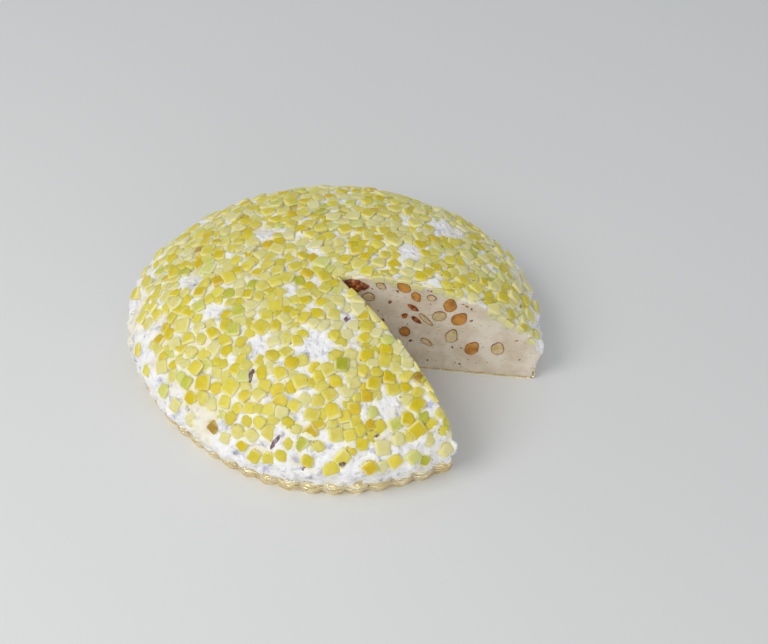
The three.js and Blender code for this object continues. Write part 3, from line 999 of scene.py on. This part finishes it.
# ---- Nut crumbs ----
# Chips of almond and of its skin that were stirred in with the whole nuts. They show as small brown
# specks in both cuts: [along the cut from the tip, height, size].
SEEN_CRUMBS = [
    (35.7, 59.9, 3.6), (40.7, 69.9, 2.2), (31.1, 42.9, 3.4), (62.9, 72.5, 2.4), (60.7, 72.9, 1.6),
    (49.8, 25.7, 3), (19, 56.9, 1.5), (12, 67.7, 3.4), (62.5, 61.1, 1.2), (89.9, 49, 2.6),
    (86.7, 61.6, 2.6), (84.2, 63.3, 1.8), (89.7, 59.5, 2), (27.6, 50.8, 1.3), (23.8, 70.2, 1.2),
    (72.6, 56.9, 1.2), (40.7, 61, 1), (47.4, 41, 1.2),
]
# More of them, drawn: how many, from where along the cut, and how high they reach there.
MORE_CRUMBS = {"right": (16, 60, lambda along: 36), "left": (34, 8, lambda along: 70 - along * along / 420)}
CRUMBS_END = 126
CRUMBS_LOWEST = 6
CRUMB_SIZES = (0.9, 3.4)
CRUMB_ROUGHNESS = 0.1
CRUMB_THICKNESS = 0.35
CRUMB_WIDTHS = (0.4, 0.8)
CRUMB_SUNK = 0.12
CRUMB_DARK = paint(122, 64, 40)
CRUMB_LIGHT = paint(180, 108, 54)
CRUMB_SEED = 23
crumb_draw = random.Random(CRUMB_SEED)
crumb_places = [("right", *crumb) for crumb in SEEN_CRUMBS]
for side, (count, nearest, highest) in MORE_CRUMBS.items():
    for _ in range(count):
        along = crumb_draw.uniform(nearest, CRUMBS_END)
        height = crumb_draw.uniform(CRUMBS_LOWEST, highest(along))
        size = between(*CRUMB_SIZES, crumb_draw.random() ** 3)
        crumb_places.append((side, along, height, size))
crumbs = []
for side, along, height, size in crumb_places:
    bpy.ops.mesh.primitive_ico_sphere_add(subdivisions=2, radius=size * MM / 2)
    crumb = bpy.context.object
    start_shaping(crumb)
    bpy.ops.mesh.select_all(action="SELECT")
    bpy.ops.transform.vertex_random(offset=CRUMB_ROUGHNESS * size * MM, uniform=0.3, seed=len(crumbs) + 1)
    bpy.ops.transform.resize(value=(1, CRUMB_THICKNESS, crumb_draw.uniform(*CRUMB_WIDTHS)))
    stop_shaping()
    upright = Matrix.Rotation(crumb_draw.uniform(0, math.pi), 4, "Y")
    lie = Matrix.Rotation(math.radians(CUT_DEGREES[side]), 4, "Z") @ upright
    spot = CUT_TIP + along_cut[side] * along * MM + Vector((0, 0, height * MM))
    crumb.data.transform(Matrix.Translation(spot - into_gap[side] * CRUMB_SUNK * size * MM) @ lie)
    crumbs.append(crumb)
crumbs = join(crumbs, "nut_crumbs")
bpy.ops.object.shade_smooth()
place, shader = new_finish("nut crumbs")
mixed = place.noise(2.5 * MM, 2).step(0.4, 0.62)
wear(crumbs, shader(Base_Color=mixed.blend(CRUMB_DARK, CRUMB_LIGHT), Roughness=0.6))
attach(crumbs, "root")
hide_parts("nougat")


# ---- Nuts under the skin ----
# Almonds and chips of their skin that lie just under the nougat's skin and break through it: [x, y,
# length, width, turn in degrees, how much of it stands out].
SHALLOW_NUTS = [
    (-56, -83, 9, 4, 75, 0.1), (-42, -120, 13, 3.4, 50, 0.25), (-97, -88, 5, 3.5, 60, 0.1),
    (-36, -22, 6.5, 3.4, 80, 0.15), (-1, -133, 9, 6, 70, 0.1), (19, -123, 6, 3, 20, 0.15),
    (-25, -132, 7, 4, 20, 0.05), (-52, -95, 8, 2.6, -30, 0.35), (-47, -92, 5, 2, 30, 0.35),
    (-30, -67, 3, 1.2, 30, 0.4), (7, -50, 7, 4.5, 30, 0.05), (53, 8, 5, 4, 0, 0.05), (31, -11, 5, 3, 60, 0.2),
    (11, 68, 6, 3, 0, 0.1),
]
SHALLOW_SEGMENTS, SHALLOW_RINGS = 16, 10
SHALLOW_THICKNESS = 1.2
SHALLOW_LIFT = 1.6
SHALLOW_ROUGHNESS = 0.12 * MM
ABOVE_THE_CAKE = 100
DUSTY_BROWN = paint(112, 74, 66)
DUSTY_GREY = paint(158, 146, 156)
up = Vector((0, 0, 1))
shallow = []
for number, (x, y, length, width, turn, stands_out) in enumerate(SHALLOW_NUTS):
    _, where, facing, _ = nougat.ray_cast(in_cake_frame(Vector((x, y, ABOVE_THE_CAKE))), -up)
    bpy.ops.mesh.primitive_uv_sphere_add(segments=SHALLOW_SEGMENTS, ring_count=SHALLOW_RINGS, radius=MM)
    nut = bpy.context.object
    start_shaping(nut)
    bpy.ops.mesh.select_all(action="SELECT")
    bpy.ops.transform.vertex_random(offset=SHALLOW_ROUGHNESS, uniform=0.2, seed=number + 1)
    bpy.ops.transform.resize(value=(length / 2, width / 2, SHALLOW_THICKNESS))
    stop_shaping()
    turned = up.rotation_difference(facing).to_matrix().to_4x4() @ Matrix.Rotation(math.radians(turn), 4, "Z")
    middle = where - facing * (SHALLOW_THICKNESS - SHALLOW_LIFT * stands_out) * MM
    nut.data.transform(Matrix.Translation(middle) @ turned)
    shallow.append(nut)
shallow = join(shallow, "nuts_under_skin")
bpy.ops.object.shade_smooth()
place, shader = new_finish("dusty nut skin")
mixed = place.noise(3 * MM, 4).step(0.4, 0.62)
wear(shallow, shader(Base_Color=mixed.blend(DUSTY_BROWN, DUSTY_GREY), Roughness=0.75))
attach(shallow, "root")
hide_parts("nougat")


# ---- The table, the light and the camera ----
# A pale table in an even, bright studio. One soft light stands at the upper left, and a long low
# one in front brightens the case. The camera looks down on the dome and its cut from the front.
TABLE_SIZE = 6
TABLE_GREY = paint(226, 226, 224)
STUDIO_COLOUR = (0.93, 0.96, 1, 1)
STUDIO_STRENGTH = 0.54
LIGHT_AIM = Vector((0, 0, 30)) * MM
bpy.data.objects.remove(knife)
bpy.ops.mesh.primitive_plane_add(size=TABLE_SIZE)
table = bpy.context.object
table.name = "table"
place, shader = new_finish("pale table")
wear(table, shader(Base_Color=TABLE_GREY, Roughness=0.8))

world = bpy.data.worlds.new("studio")
bpy.context.scene.world = world
world.use_nodes = True
studio = world.node_tree.nodes["Background"].inputs
studio["Color"].default_value = STUDIO_COLOUR
studio["Strength"].default_value = STUDIO_STRENGTH


def softbox(name, place, size, power):
    """A soft light: its place, and its width and height, in metres, and its power in watts."""
    light = bpy.data.lights.new(name, "AREA")
    light.shape, light.size, light.size_y, light.energy = "RECTANGLE", *size, power
    lamp = add(name, light)
    lamp.location = place
    lamp.rotation_euler = (LIGHT_AIM - Vector(place)).to_track_quat("-Z", "Y").to_euler()


softbox("key", place=(-0.9, -0.55, 1.15), size=(0.9, 0.9), power=10)
softbox("fill", place=(0.1, -1.3, 0.32), size=(1.8, 0.14), power=3)

CAMERA_LENS = 70.296
CAMERA_ROLL = 0.265
CAMERA_PLACE = in_cake_frame(Vector((-15.971, -743.429, 736.004)))
CAMERA_AIM = in_cake_frame(Vector((32.459, -5.301, 27.91)))
camera = add("camera", bpy.data.cameras.new("camera"))
camera.data.lens = CAMERA_LENS
camera.location = CAMERA_PLACE
aim = (CAMERA_AIM - CAMERA_PLACE).to_track_quat("-Z", "Y")
camera.rotation_euler = (aim @ Quaternion((0, 0, 1), math.radians(CAMERA_ROLL))).to_euler()
bpy.context.scene.camera = camera
bpy.context.scene.view_settings.view_transform = "Standard"

bpy.context.view_layer.update()
